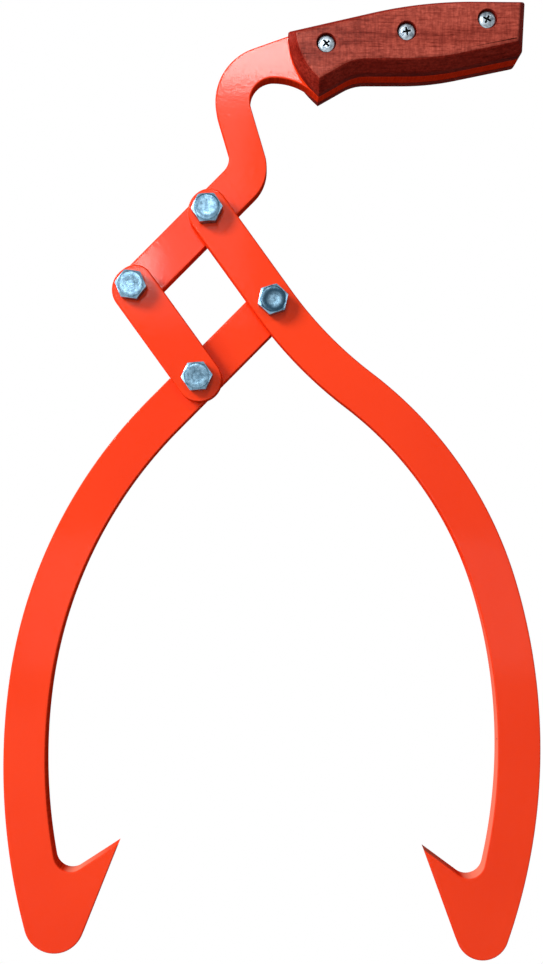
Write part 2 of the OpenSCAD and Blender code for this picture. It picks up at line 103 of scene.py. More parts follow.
def rounded_corner(p, q, s, radius):
    """The arc of this radius that touches both lines at q: it starts radius x tan(half the turn) before q."""
    turn = turn_at(p, q, s)
    u = (q - p) / np.linalg.norm(q - p)
    start = q - u * radius * np.tan(np.radians(abs(turn)) / 2)
    centre = start + np.sign(turn) * radius * np.array([-u[1], u[0]])
    first = np.degrees(np.arctan2(*(start - centre)[::-1]))
    steps = bend_steps(radius, abs(turn), 4)
    return centre + radius * along(first + turn * np.linspace(0, 1, steps + 1))


def corner_arcs(corners):
    """The touching arc at each corner (point, radius, ...) of a closed outline."""
    points = [np.asarray(corner[0], float) for corner in corners]
    count = len(points)
    return [rounded_corner(points[i - 1], points[i], points[(i + 1) % count], corners[i][1])
            for i in range(count)]


def rounded(corners):
    """A closed outline through corners (point, radius, ...), each replaced by its touching arc."""
    return np.concatenate(corner_arcs(corners))


def inset(ring, distance):
    """The ring moved to its left by distance: each vertex goes along the mitre of its two edges' normals."""
    edge = np.roll(ring, -1, axis=0) - ring
    normal = np.stack([-edge[:, 1], edge[:, 0]], axis=1) / np.linalg.norm(edge, axis=1)[:, None]
    before = np.roll(normal, 1, axis=0)
    return ring + distance * (before + normal) / (1 + (before * normal).sum(axis=1))[:, None]


def circle(centre, radius):
    """48 points round a hole, clockwise, so that the metal is on their left as it is at the outer edge."""
    return np.asarray(centre) + radius * along(np.arange(48) * -7.5)


def placed(ring, depth):
    """A flat ring of (x, z) points as (x, y, z) points at one depth."""
    return np.stack([ring[:, 0], np.full(len(ring), depth), ring[:, 1]], axis=1)


def skin(rings, start=0, loop=False):
    """Quads between closed rings, an array (rings, points, 3); loop also joins the last ring to the first."""
    count, size = rings.shape[:2]
    k, i = np.meshgrid(np.arange(count if loop else count - 1), np.arange(size), indexing="ij")
    k_next, i_next = (k + 1) % count, (i + 1) % size
    quads = np.stack([k * size + i, k_next * size + i, k_next * size + i_next, k * size + i_next], axis=-1)
    return rings.reshape(-1, 3), start + quads.reshape(-1, 4)


def cap(rings, starts, facing_front):
    """Triangles of the flat face inside the first ring and outside the others, all facing one way."""
    corners = np.concatenate(rings)
    index = np.concatenate([start + np.arange(len(ring)) for ring, start in zip(rings, starts)])
    tris = np.array(tessellate_polygon([[Vector((x, z, 0)) for x, z in ring] for ring in rings]))
    a, b, c = corners[tris[:, 0]], corners[tris[:, 1]], corners[tris[:, 2]]
    area = (b[:, 0] - a[:, 0]) * (c[:, 1] - a[:, 1]) - (b[:, 1] - a[:, 1]) * (c[:, 0] - a[:, 0])
    real = np.abs(area) > LEAST_AREA
    tris, wrong = tris[real], (area[real] > 0) != facing_front
    tris[wrong] = tris[wrong][:, ::-1]
    return index[tris]


def slab(bands):
    """Points and faces of a slab: a band of rings round its outer edge and each hole, and two flat faces.

    Each band, an array (rings, points, 3), runs from the front face to the back one, the outer edge's first.
    """
    points, faces, starts, ends, used = [], [], [], [], 0
    for rings in bands:
        ring_points, quads = skin(rings, used)
        points.append(ring_points)
        faces.append(quads)
        starts.append(used)
        used += len(ring_points)
        ends.append(used - rings.shape[1])
    fronts = [rings[0][:, [0, 2]] for rings in bands]
    backs = [rings[-1][:, [0, 2]] for rings in bands]
    faces += [cap(fronts, starts, True), cap(backs, ends, False)]
    return np.concatenate(points), faces


def made(name, points, faces, sharp=35.0):
    """A mesh object from points in millimetres and faces, smooth but for edges sharper than this angle."""
    mesh = bpy.data.meshes.new(name)
    mesh.from_pydata((points * MM).tolist(), [], [face.tolist() for group in faces for face in group])
    mesh.validate()
    mesh.shade_smooth()
    mesh.set_sharp_from_angle(angle=np.radians(sharp))
    piece = bpy.data.objects.new(name, mesh)
    bpy.context.scene.collection.objects.link(piece)
    return piece


def within(points, faces, near, far):
    """For each face, whether the mean depth of its corners lies between near and far."""
    middle = np.concatenate([points[group][:, :, 1].mean(axis=1) for group in faces])
    return (middle > near) & (middle < far)


def finished(piece, finishes, second):
    """Gives a piece its two materials, the second one on the faces marked so."""
    for finish in finishes:
        piece.data.materials.append(finish)
    piece.data.polygons.foreach_set("material_index", second.astype(np.int32))
    return piece


def bar_profile(near, far, round_r):
    """Steps (inset, depth) across a bar's edge: flat strip, quarter circle, wall, and the same back."""
    t = np.radians(np.linspace(0, 90, 5))
    front = np.stack([round_r * (1 - np.sin(t)), near + round_r * (1 - np.cos(t))], axis=1)
    back = np.stack([front[:, 0], far + near - front[:, 1]], axis=1)[::-1]
    wall = [[0, near + round_r + WALL_STRIP], [0, far - round_r - WALL_STRIP]]
    strip = round_r + FACE_STRIP
    return np.concatenate([[[strip, near]], front, wall, back, [[strip, far]]])


def painted_bar(name, outline, near, far, holes, round_r, finishes):
    """A flat bar: the edge profile carried round the outline and round each hole, between two flat faces.

    The first finish is for the faces, the second for the wall and all but the first tenth of its rounding.
    """
    edges = [(outline, round_r)] + [(circle(centre, r), HOLE_ROUND) for centre, r in holes]
    points, faces = slab([
        np.stack([placed(inset(ring, inward), depth) for inward, depth in bar_profile(near, far, ring_round)])
        for ring, ring_round in edges])
    first_tenth = 0.1 * round_r
    cut = within(points, faces, near + first_tenth, far - first_tenth)
    return finished(made(name, points, faces), finishes, cut)


BLACK, WHITE = (0, 0, 0), (1, 1, 1)


def new_material(name, **sockets):
    """A material whose one shader has these values set on its own sockets."""
    material = bpy.data.materials.new(name)
    material.use_nodes = True
    shader = material.node_tree.nodes["Principled BSDF"]
    for socket, value in sockets.items():
        shader.inputs[socket.replace("_", " ")].default_value = value
    return material, material.node_tree.nodes, material.node_tree.links, shader


def noise_of(nodes, links, scale, detail=3.0, roughness=0.5, squeeze=(1, 1, 1), turn=(0, 0, 0)):
    """Noise on the object's own coordinates in metres, squeezed and turned by a Mapping node."""
    place, mapping, noise = (nodes.new("ShaderNode" + kind) for kind in ("TexCoord", "Mapping", "TexNoise"))
    mapping.inputs["Scale"].default_value = squeeze
    mapping.inputs["Rotation"].default_value = turn
    noise.inputs["Scale"].default_value = scale
    noise.inputs["Detail"].default_value = detail
    noise.inputs["Roughness"].default_value = roughness
    links.new(place.outputs["Object"], mapping.inputs["Vector"])
    links.new(mapping.outputs["Vector"], noise.inputs["Vector"])
    return noise.outputs["Fac"]


def ramp_of(nodes, links, value, stops):
    """A colour ramp over a value, with stops [(position, colour)]."""
    ramp = nodes.new("ShaderNodeValToRGB")
    while len(ramp.color_ramp.elements) < len(stops):
        ramp.color_ramp.elements.new(0.5)
    for element, (position, colour) in zip(ramp.color_ramp.elements, stops):
        element.position, element.color = position, (*colour, 1.0)
    links.new(value, ramp.inputs["Fac"])
    return ramp.outputs["Color"]


def mixed(nodes, links, amount, under, over, blend="MIX"):
    """A Mix node from one colour to another; the amount and both colours are sockets or fixed values."""
    mix = nodes.new("ShaderNodeMix")
    mix.data_type, mix.blend_type = "RGBA", blend
    for socket, given in (("Factor", amount), ("A", under), ("B", over)):
        if isinstance(given, bpy.types.NodeSocket):
            links.new(given, mix.inputs[socket])
        else:
            mix.inputs[socket].default_value = given
    return mix.outputs["Result"]


def mark_of(nodes, name):
    """The value that each point of the piece carries under this name, or 0 where it carries none."""
    mark = nodes.new("ShaderNodeAttribute")
    mark.attribute_name = name
    return mark.outputs["Fac"]


def bump_of(nodes, links, shader, heights):
    """Bumps one after the other, each (value, depth in metres), into the shader's normal and its coat's."""
    normal = None
    for value, depth in heights:
        bump = nodes.new("ShaderNodeBump")
        bump.inputs["Distance"].default_value = depth
        links.new(value, bump.inputs["Height"])
        if normal is not None:
            links.new(normal, bump.inputs["Normal"])
        normal = bump.outputs["Normal"]
    links.new(normal, shader.inputs["Normal"])
    links.new(normal, shader.inputs["Coat Normal"])


def paint_finish(name, face, deep, coat):
    """Gloss enamel: two close orange-reds in wide soft patches, waves, orange peel and fine dull pits."""
    material, nodes, links, shader = new_material(
        name, Roughness=0.6, Specular_IOR_Level=0.0, Coat_IOR=2.5, Coat_Roughness=0.09)
    patches = noise_of(nodes, links, 9.0, 2.0)
    links.new(ramp_of(nodes, links, patches, [(0.35, deep), (0.65, face)]), shader.inputs["Base Color"])
    pits = noise_of(nodes, links, 720.0, 1.0)
    gloss = ramp_of(nodes, links, pits, [(0.28, BLACK), (0.35, (coat,) * 3)])
    links.new(gloss, shader.inputs["Coat Weight"])
    waves = noise_of(nodes, links, 130.0, 1.0)
    peel = noise_of(nodes, links, 620.0, 2.0)
    bump_of(nodes, links, shader, [(waves, 0.00002), (peel, 0.000025)])
    return material


def cut_edge_finish(name, face, deep, painted_sheen, chip):
    """The same enamel on a laser-cut edge: dull, over the cut's lines, with painted sheen where marked, and
    chipped.
    """
    material, nodes, links, shader = new_material(name, Roughness=0.7, Specular_IOR_Level=0.0)
    lines = noise_of(nodes, links, 1400.0, 2.0, 0.6, (1.0, 0.06, 1.0))
    chips = noise_of(nodes, links, 160.0, 4.0, 0.7)
    chipped = ramp_of(nodes, links, chips, [(0.70, BLACK), (0.71, WHITE)])
    tone = ramp_of(nodes, links, lines, [(0.35, deep), (0.65, face)])
    # Painted sheen: a paler pink where the edge faces up and left, towards the key light.
    tone = mixed(nodes, links, mark_of(nodes, "painted_sheen"), tone, (*painted_sheen, 1.0))
    tone = mixed(nodes, links, chipped, tone, (*chip, 1.0))
    links.new(tone, shader.inputs["Base Color"])
    bump_of(nodes, links, shader, [(lines, 0.00006)])
    return material


ENAMEL_FACE, ENAMEL_DEEP = (0.95, 0.050, 0.008), (0.90, 0.043, 0.007)
GLOSSY_ENAMEL = paint_finish("orange_enamel_glossy", ENAMEL_FACE, ENAMEL_DEEP, coat=0.090)
# The paler pink given for the cut edge is a painted sheen on edges that face the key light.
ON_CUT = cut_edge_finish(
    "orange_enamel_on_cut", (0.93, 0.045, 0.010), (0.74, 0.026, 0.005), painted_sheen=(0.72, 0.145, 0.090),
    chip=(0.06, 0.02, 0.02))

SPUR, TOP_FRONT = np.array([-47.6, -31.2]), np.array([-65.0, 2.9])
FRONT_EDGE = TOP_FRONT - SPUR
FRONT_LENGTH = np.linalg.norm(FRONT_EDGE)
# The grip's front bulges: an arc takes up this share of both sides of a corner that stands out in the middle
BULGE_OUT, BULGE_SHARE = 6.6, 0.75
BULGE = (SPUR + TOP_FRONT) / 2 + BULGE_OUT * np.array([-FRONT_EDGE[1], FRONT_EDGE[0]]) / FRONT_LENGTH
BULGE_R = BULGE_SHARE * (FRONT_LENGTH / 2) * np.linalg.norm(BULGE - SPUR) / BULGE_OUT
LOW_BEVEL, REAR_BEVEL, TOP_BEVEL, FRONT_BEVEL = 4.8, 4.0, 4.4, 3.7
# The grip's outline: each corner's place and radius, and the width of the wood's bevel on the edge after it
GRIP_CORNERS = [
    (SPUR, 0.5, LOW_BEVEL), ((-27.5, -19.8), 25.0, LOW_BEVEL), ((16.0, -19.8), 150.0, LOW_BEVEL),
    ((64.9, -9.7), 3.0, REAR_BEVEL), ((66.4, 19.5), 1.5, TOP_BEVEL), ((10.0, 20.0), 250.0, TOP_BEVEL),
    (TOP_FRONT, 1.5, FRONT_BEVEL), (BULGE, BULGE_R, FRONT_BEVEL)]

NECK_DIR, NECK_HALF = 106.5, 9.75
NECK_MID = TOP_BOLT + np.array([17.6, 46.2])
NECK_LEFT = NECK_MID + NECK_HALF * across(NECK_DIR)
NECK_RIGHT = NECK_MID - NECK_HALF * across(NECK_DIR)
LEVER_HALF, LEVER_CORNER_R = 11.3, 11.07
LEVER_UPPER = TOP_BOLT - LEVER_HALF * across(LEVER_DIR)
LEVER_LOWER = TOP_BOLT + LEVER_HALF * across(LEVER_DIR)
LEVER_TIP = LEFT_BOLT + LEVER_HALF * along(LEVER_DIR)
CROOK_R, CROOK_SLOPE = 31.5, 19.5
NECK_FRONT_R, NECK_REAR_R, CEILING_R, ARCH_R = 10.0, 24.0, 13.0, 34.0
CEILING = np.array([0.0, -20.4])
# The throat's level ceiling turns down to the spur this far in front of it
ARCH_RUN = -SPUR[0] / 5.3 + 4.3
ARCH_DIR = np.degrees(np.arctan2(SPUR[1] - CEILING[1], ARCH_RUN))
HANDLE_CORNERS = GRIP_CORNERS[:6] + [
    (TOP_FRONT, CROOK_R),
    (meet(NECK_LEFT, NECK_DIR, TOP_FRONT, CROOK_SLOPE), CROOK_R),
    (meet(NECK_LEFT, NECK_DIR, LEVER_UPPER, LEVER_DIR), NECK_FRONT_R),
    (LEVER_TIP - LEVER_HALF * across(LEVER_DIR), LEVER_CORNER_R),
    (LEVER_TIP + LEVER_HALF * across(LEVER_DIR), LEVER_CORNER_R),
    (meet(NECK_RIGHT, NECK_DIR, LEVER_LOWER, LEVER_DIR), NECK_REAR_R),
    (meet(NECK_RIGHT, NECK_DIR, CEILING, 0.0), CEILING_R),
    (meet(SPUR, ARCH_DIR, CEILING, 0.0), ARCH_R)]

handle = painted_bar(
    "painted_handle_bar", rounded(HANDLE_CORNERS), BACK_NEAR, BACK_FAR,
    [(TOP_BOLT, BORE_R), (LEFT_BOLT, BORE_R)] + [(place, SLEEVE_HOLE_R) for place in SCREWS],
    round_r=0.6, finishes=(GLOSSY_ENAMEL, ON_CUT))
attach(handle, "handle")
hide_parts("handle_bar")


# ---- Wooden scales
# Two slabs of reddish hardwood, one on each side of the tang, bevelled all round and satin lacquered. Three
# counterbores in each take the screw heads. The grain runs along the grip.

SCALE_IN, SCALE_EDGE, SCALE_OUT = 4.0, 8.5, 16.0
HEAD_FLOOR, RECESS_R, RECESS_LIP = 12.9, 5.4, 0.2
BEVEL_MEAN, BEVEL_FROM = 4.4, 0.4
EDGE_ARRIS_R, FACE_ARRIS_R, LEAST_R = 1.6, 2.6, 0.4
WOOD_STRIP, FACE_MIDDLE = 0.35, 12.0


def bevelled(corners):
    """The corners moved in by the bevels: each goes where its two edges cross once both have moved in."""
    points = [np.asarray(corner[0], float) for corner in corners]
    moved = []
    for i, (_, radius, after) in enumerate(corners):
        p, q, s, before = points[i - 1], points[i], points[(i + 1) % len(points)], corners[i - 1][2]
        u, v = (q - p) / np.linalg.norm(q - p), (s - q) / np.linalg.norm(s - q)
        shift = np.linalg.solve([[-u[1], u[0]], [-v[1], v[0]]], [before, after])
        moved.append((q + shift, max(radius - after, LEAST_R) if turn_at(p, q, s) > 0 else radius + after))
    return moved


def matched(corners, counts_from):
    """An outline with as many points on each corner's arc as the other corners' own outline has."""
    parts = []
    for found, other in zip(corner_arcs(corners), corner_arcs(counts_from)):
        at = np.linspace(0, len(found) - 1, len(other))
        steps = np.arange(len(found))
        parts.append(np.stack([np.interp(at, steps, found[:, axis]) for axis in (0, 1)], axis=1))
    return np.concatenate(parts)


def scale_profile():
    """Steps (share of the bevel, depth): the flat edge, the bevel and the face, with both arrises rounded."""
    way = np.array([[0, SCALE_IN], [0, SCALE_EDGE], [BEVEL_MEAN, SCALE_OUT], [FACE_MIDDLE, SCALE_OUT]])
    edge_arris = rounded_corner(*way[:3], EDGE_ARRIS_R)
    face_arris = rounded_corner(*way[1:], FACE_ARRIS_R)
    steps = np.concatenate([way[:1], edge_arris, face_arris, face_arris[-1:] + [WOOD_STRIP, 0]])
    return np.stack([steps[:, 0] / BEVEL_MEAN, steps[:, 1]], axis=1)


def hole_steps():
    """Steps (radius, depth) of a counterbored hole: face, round lip, recess and the sleeve's hole."""
    t = np.radians(np.linspace(0, 90, 4))
    lip_r, lip_depth = RECESS_R + RECESS_LIP * (1 - np.sin(t)), SCALE_OUT - RECESS_LIP * (1 - np.cos(t))
    return [(RECESS_R + FACE_STRIP, SCALE_OUT), *zip(lip_r, lip_depth),
            (RECESS_R, HEAD_FLOOR), (SLEEVE_HOLE_R, HEAD_FLOOR), (SLEEVE_HOLE_R, SCALE_IN)]


def mirrored(points, faces):
    """The same piece on the back: every depth changes its sign, and every face its direction."""
    return points * [1, -1, 1], [group[:, ::-1] for group in faces]


def wood_scale(name, side, finishes):
    """One scale: its profile carried round the grip's outline, its holes and its two faces.

    Side -1 is the front and 1 the back. The second finish, with painted shade, is for all that lies below the
    face.
    """
    full = rounded(GRIP_CORNERS)
    inner = matched(bevelled(GRIP_CORNERS), GRIP_CORNERS)
    shell = np.stack([
        placed(full + share * (inner - full), -depth) for share, depth in scale_profile()[::-1]])
    holes = [np.stack([placed(circle(centre, r), -depth) for r, depth in hole_steps()]) for centre in SCREWS]
    points, faces = slab([shell] + holes)
    cut = within(points, faces, BEVEL_FROM - SCALE_OUT, 0.0)
    if side > 0:
        points, faces = mirrored(points, faces)
    return finished(made(name, points, faces, sharp=50.0), finishes, cut)


def wood_finish(name, pale, middle, dark, lacquer):
    """Reddish hardwood: long streaks, dark pores along the grain, flecks, cross ripples, satin lacquer."""
    material, nodes, links, shader = new_material(
        name, Specular_IOR_Level=0.0, Coat_Weight=lacquer, Coat_IOR=1.8, Coat_Roughness=0.25)
    lie = (0, np.radians(GRIP_TILT), 0)
    streaks = noise_of(nodes, links, 95.0, 5.0, 0.7, (0.10, 1.0, 1.0), lie)
    pores = noise_of(nodes, links, 1300.0, 3.0, 0.7, (0.05, 1.0, 1.0), lie)
    flecks = noise_of(nodes, links, 900.0, 2.0, 0.6, (0.45, 1.0, 1.0), lie)
    ripples = noise_of(nodes, links, 1100.0, 1.0, 0.5, (1.0, 1.0, 0.14), lie)
    tone = ramp_of(nodes, links, streaks, [(0.32, dark), (0.48, middle), (0.70, pale)])
    for grain, stops in (
            (pores, [(0.34, (0.55, 0.40, 0.38)), (0.46, WHITE)]),
            (ripples, [(0.36, (0.84, 0.80, 0.80)), (0.64, (1.12, 1.15, 1.15))]),
            (flecks, [(0.34, (0.78, 0.70, 0.70)), (0.66, (1.18, 1.24, 1.24))])):
        tone = mixed(nodes, links, 1.0, tone, ramp_of(nodes, links, grain, stops), "MULTIPLY")
    links.new(tone, shader.inputs["Base Color"])
    bump_of(nodes, links, shader, [(pores, 0.00008), (flecks, 0.00004)])
    return material


# The second copy is the same wood painted darker as shade, for the bevels and edges; it also has less
# lacquer.
HARDWOOD = (
    wood_finish(
        "red_hardwood", (0.440, 0.085, 0.058), (0.350, 0.058, 0.038), (0.205, 0.025, 0.016), lacquer=0.05),
    wood_finish(
        "red_hardwood_painted_shade", (0.325, 0.030, 0.018), (0.250, 0.017, 0.010), (0.150, 0.008, 0.005),
        lacquer=0.02))
for label, side in (("front", -1), ("back", 1)):
    scale = wood_scale("wood_scale_" + label, side, HARDWOOD)
    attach(scale, "handle")
    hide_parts("grip_scale_" + label)


# ---- Grip screws and sleeve nuts
# Three bright plated screws with a cross recess come from the front, each into a sleeve nut with a domed head
# from the back. The heads sit a little below the wood's face.

HEAD_R, HEAD_H, HEAD_SIDE_H, DOME_POWER = 5.0, 2.4, 1.2, 3.2
SHANK_R, SHANK_END = 2.0, 2.5
SLEEVE_R, SLEEVE_END = 3.0, 9.5
STEM_CHAMFER = 0.4
DOME_FIRST_R, DOME_STEPS, HEAD_POINTS = 0.12, 34, 96
SLOT_HALF, SLOT_TAPER, SLOT_WALL = 0.50, 0.06, 0.22
SLOT_END, SLOT_END_RUN = 2.35, 0.45
# The cross recess gets painted shade that grows with its depth, full from the last of these depths.
SLOT_DEPTH, SLOT_RISE, SHADED_DEPTH = 1.45, 0.22, 0.45


def all_round(count):
    """This many unit vectors, evenly all round."""
    return along(np.arange(count) * 360.0 / count)


def turned(steps, centre, count=72):
    """Rings of a turned surface: steps (radius, depth), each a number or an array over the angles."""
    radii, depths = (np.stack([np.broadcast_to(step[part], count) for step in steps]) for part in (0, 1))
    way = all_round(count)
    return np.stack([centre[0] + radii * way[:, 0], depths, centre[1] + radii * way[:, 1]], axis=-1)


def closed(rings, first, last):
    """The skin of the rings, closed at both ends by a fan of triangles to a middle point."""
    points, quads = skin(rings)
    size, i = rings.shape[1], np.arange(rings.shape[1])
    base = len(points) - size
    start_fan = np.stack([np.full(size, len(points)), i, (i + 1) % size], axis=1)
    end_fan = np.stack([np.full(size, len(points) + 1), base + (i + 1) % size, base + i], axis=1)
    return np.concatenate([points, [first, last]]), [quads, start_fan, end_fan]


def marked(piece, name, values):
    """Gives each point of the piece its own value under this name, for the finish to read."""
    mark = piece.data.attributes.new(name, "FLOAT", "POINT")
    mark.data.foreach_set("value", values.astype(np.float32))


def dome_height(r):
    """Height of a domed head: its side's, plus the crown's times the root of 1 - (r / radius) ^ power."""
    s = np.clip(r / HEAD_R, 0, 1)
    return HEAD_SIDE_H + (HEAD_H - HEAD_SIDE_H) * np.sqrt(np.clip(1 - s ** DOME_POWER, 0, 1))


def cross_depth(x, z, turn):
    """Depth of the cross recess: the deeper of two crossed slots, which narrow and rise outwards."""
    a = np.radians(turn)
    u, v = x * np.cos(a) + z * np.sin(a), -x * np.sin(a) + z * np.cos(a)

    def slot(lengthwise, sideways):
        out = np.abs(lengthwise)
        wall = np.clip((SLOT_HALF - SLOT_TAPER * out - np.abs(sideways)) / SLOT_WALL + 0.5, 0, 1)
        end = np.clip((SLOT_END - out) / SLOT_END_RUN, 0, 1)
        return wall * end * (SLOT_DEPTH - SLOT_RISE * out)

    return np.maximum(slot(u, v), slot(v, u))


def screw_or_sleeve(name, centre, turn, stem_r, stem_end, side):
    """A domed head on its stem: rings out over the dome, down its side, in under the head and along the stem.

    A head with a turn has its cross recess at that angle. Side -1 goes in from the front and 1 from the back.
    """
    dome = np.linspace(DOME_FIRST_R, HEAD_R, DOME_STEPS)
    r = np.concatenate([dome, [HEAD_R, stem_r, stem_r, stem_r - STEM_CHAMFER]])
    height = np.concatenate([dome_height(dome), [0.0, 0.0]])
    cut = np.zeros((len(r), HEAD_POINTS))
    if turn is not None:
        way = all_round(HEAD_POINTS)
        cut[:DOME_STEPS] = cross_depth(dome[:, None] * way[:, 0], dome[:, None] * way[:, 1], turn)
    depth = np.concatenate([-HEAD_FLOOR - height, [stem_end - STEM_CHAMFER, stem_end]])[:, None] + cut
    rings = turned(list(zip(r, depth)), centre, HEAD_POINTS)
    points, faces = closed(rings, [centre[0], depth[0].mean(), centre[1]], [centre[0], stem_end, centre[1]])
    if side > 0:
        points, faces = mirrored(points, faces)
    piece = made(name, points, faces, sharp=32.0)
    # Painted shade in the cross recess, growing with its depth.
    marked(piece, "painted_shade", np.clip(np.concatenate([cut.ravel(), [cut.max(), 0.0]]) / SHADED_DEPTH, 0, 1))
    return piece


def plate_finish(name, colour, dark, roughness, scratch, painted_shade):
    """Plated steel: bright metal with cloudy tarnish and fine handling marks, and painted shade and dark
    reflections where it is marked.
    """
    material, nodes, links, shader = new_material(name, Metallic=1.0)
    clouds = noise_of(nodes, links, 480.0, 4.0, 0.65)
    marks = noise_of(nodes, links, 1500.0, 3.0, 0.7)
    tone = ramp_of(nodes, links, clouds, [(0.38, dark), (0.58, colour)])
    tone = mixed(nodes, links, mark_of(nodes, "painted_shade"), tone, (*painted_shade, 1.0))
    links.new(tone, shader.inputs["Base Color"])
    rough = ramp_of(nodes, links, marks, [(0.3, (roughness,) * 3), (0.7, (roughness + 0.16,) * 3)])
    links.new(rough, shader.inputs["Roughness"])
    bump_of(nodes, links, shader, [(clouds, scratch), (marks, scratch / 3)])
    return material


# The last colour is the painted shade in the cross recesses.
BRIGHT = plate_finish(
    "bright_plate", (0.36, 0.42, 0.47), (0.12, 0.15, 0.18), roughness=0.20, scratch=0.00006,
    painted_shade=(0.008, 0.010, 0.012))
for label, centre, turn in zip(("front", "middle", "rear"), SCREWS, (38.0, 12.0, 64.0)):
    screw = screw_or_sleeve("cross_screw_" + label, centre, turn, SHANK_R, SHANK_END, -1)
    nut = screw_or_sleeve("domed_nut_" + label, centre, None, SLEEVE_R, SLEEVE_END, 1)
    for piece, node in ((screw, "grip_screw_"), (nut, "sleeve_nut_")):
        piece.data.materials.append(BRIGHT)
        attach(piece, "handle")
        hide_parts(node + label)


# ---- Tines and link
# Three more 8 mm bars in the same paint. Each tine has a rounded end, a straight, a shoulder and a long sweep
# down to a pointed hook. The right tine and the link lie in the front layer, the left tine in the back one.

FRONT_NEAR, FRONT_FAR = -12.3, -4.3
TINE_HALF, LINK_HALF = 11.75, 12.5
THROAT_R, HOOK_TURN = 9.0, 114.0
LEAST_GAP = 1e-3
LOOSE_BORE_R, LINK_BEYOND = 5.25, 1.3
# Where a cut edge faces up and left, towards the key light, a painted sheen rises over this cosine range.
UP_LEFT, SHEEN_FROM, SHEEN_RISE = 133.0, 0.35, 0.3


def walked(state, moves):
    """The place and heading at the start and after each straight (length, 0) or bend (radius, turn)."""
    states = [state]
    for size, turn in moves:
        place, heading = states[-1]
        if turn:
            centre = place + np.sign(turn) * size * across(heading)
            states.append((centre - np.sign(turn) * size * across(heading + turn), heading + turn))
        else:
            states.append((place + size * along(heading), heading))
    return states


def side_line(states, moves, offset):
    """The line beside the moves at this offset to the left: a parallel for a straight, an arc for a bend."""
    parts = []
    for (place, heading), (size, turn) in zip(states, moves):
        if turn:
            centre = place + np.sign(turn) * size * across(heading)
            first = heading - np.sign(turn) * 90.0
            parts.append(arc(centre, size - np.sign(turn) * offset, first, first + turn))
        else:
            ends = (place, place + size * along(heading))
            parts.append(np.stack([end + offset * across(heading) for end in ends]))
    return np.concatenate(parts)


def bar_end(hole, heading, width, reach, right_r, left_r):
    """Two corner arcs round a hole: the end line lies reach behind it, square to both edges."""
    right, left = hole - width / 2 * across(heading), hole + width / 2 * across(heading)
    back = -reach * along(heading)
    return np.concatenate([rounded_corner(right, right + back, left + back, right_r),
                           rounded_corner(right + back, left + back, left, left_r)])


def tine_outline(end, hole, heading, moves, sweep_r, inner_r, sweep, heel_run, reach, heel_r):
    """End, outer edge, heel, the tangent from the heel to the tip, the tip, the throat and the inner edge.

    After the moves the tine sweeps to the right, by the angle sweep to its throat and heel_run further to its
    heel, with a radius of its own on the inner edge. The tip lies reach beyond the throat.
    """
    states = walked((hole, heading), moves)
    place, last = states[-1]
    centre = place - sweep_r * across(last)
    first = last + 90.0
    throat, heel = first - sweep, first - sweep - np.degrees(heel_run / sweep_r)
    inner = first - sweep * (sweep_r - TINE_HALF) / inner_r
    inner_c = centre + (sweep_r - TINE_HALF - inner_r) * along(first)
    throat_c = inner_c + (inner_r - THROAT_R) * along(inner)
    heel_c = centre + (sweep_r + TINE_HALF - heel_r) * along(heel)
    tip = throat_c + THROAT_R * along(throat - HOOK_TURN) - reach * across(throat - HOOK_TURN)
    gap = tip - heel_c
    touch = np.degrees(np.arctan2(gap[1], gap[0]) + np.arccos(heel_r / np.linalg.norm(gap))) - 360.0
    ring = np.concatenate([
        end, side_line(states, moves, TINE_HALF),
        arc(centre, sweep_r + TINE_HALF, first, heel), arc(heel_c, heel_r, heel, touch), [tip],
        arc(throat_c, THROAT_R, throat - HOOK_TURN, inner), arc(inner_c, inner_r, inner, first),
        side_line(states, moves, -TINE_HALF)[:0:-1]])
    apart = np.linalg.norm(ring - np.roll(ring, 1, axis=0), axis=1) > LEAST_GAP
    return ring[apart][::-1]


right_ring = tine_outline(
    bar_end(TOP_BOLT, TINE_DIR - 360.0, 2 * TINE_HALF, reach=11.2, right_r=13.0, left_r=10.0),
    TOP_BOLT, TINE_DIR - 360.0, [(63.0, 0), (226.0, 17.0), (212.0, -36.0)],
    sweep_r=312.0, inner_r=295.0, sweep=29.1, heel_run=37.8, reach=23.9, heel_r=14.6)
# The left tine sweeps the other way, so it is drawn as its mirror image
left_hole = RIGHT_BOLT * [-1, 1]
left_ring = tine_outline(
    arc(left_hole, TINE_HALF, 90.0 - LEVER_DIR, -90.0 - LEVER_DIR),
    left_hole, 180.0 - LEVER_DIR, [(87.5, 0), (265.0, -37.0)],
    sweep_r=344.0, inner_r=305.0, sweep=16.6, heel_run=36.8, reach=26.5, heel_r=17.0)
left_ring = (left_ring * [-1, 1])[::-1]
link_ring = np.concatenate([
    bar_end(LEFT_BOLT, TINE_DIR, 2 * LINK_HALF, reach=10.6, right_r=13.0, left_r=10.0),
    arc(BOTTOM_BOLT + LINK_BEYOND * along(TINE_DIR), LINK_HALF, TINE_DIR + 90.0, TINE_DIR - 90.0)])[::-1]


def painted_sheen_marked(bar):
    """Marks painted sheen where a point faces up and left, towards the key light, rising evenly with that
    cosine.
    """
    normal = np.empty(3 * len(bar.data.vertices), np.float32)
    bar.data.vertices.foreach_get("normal", normal)
    facing = normal.reshape(-1, 3)[:, [0, 2]] @ along(UP_LEFT)
    marked(bar, "painted_sheen", np.clip((facing - SHEEN_FROM) / SHEEN_RISE, 0, 1))


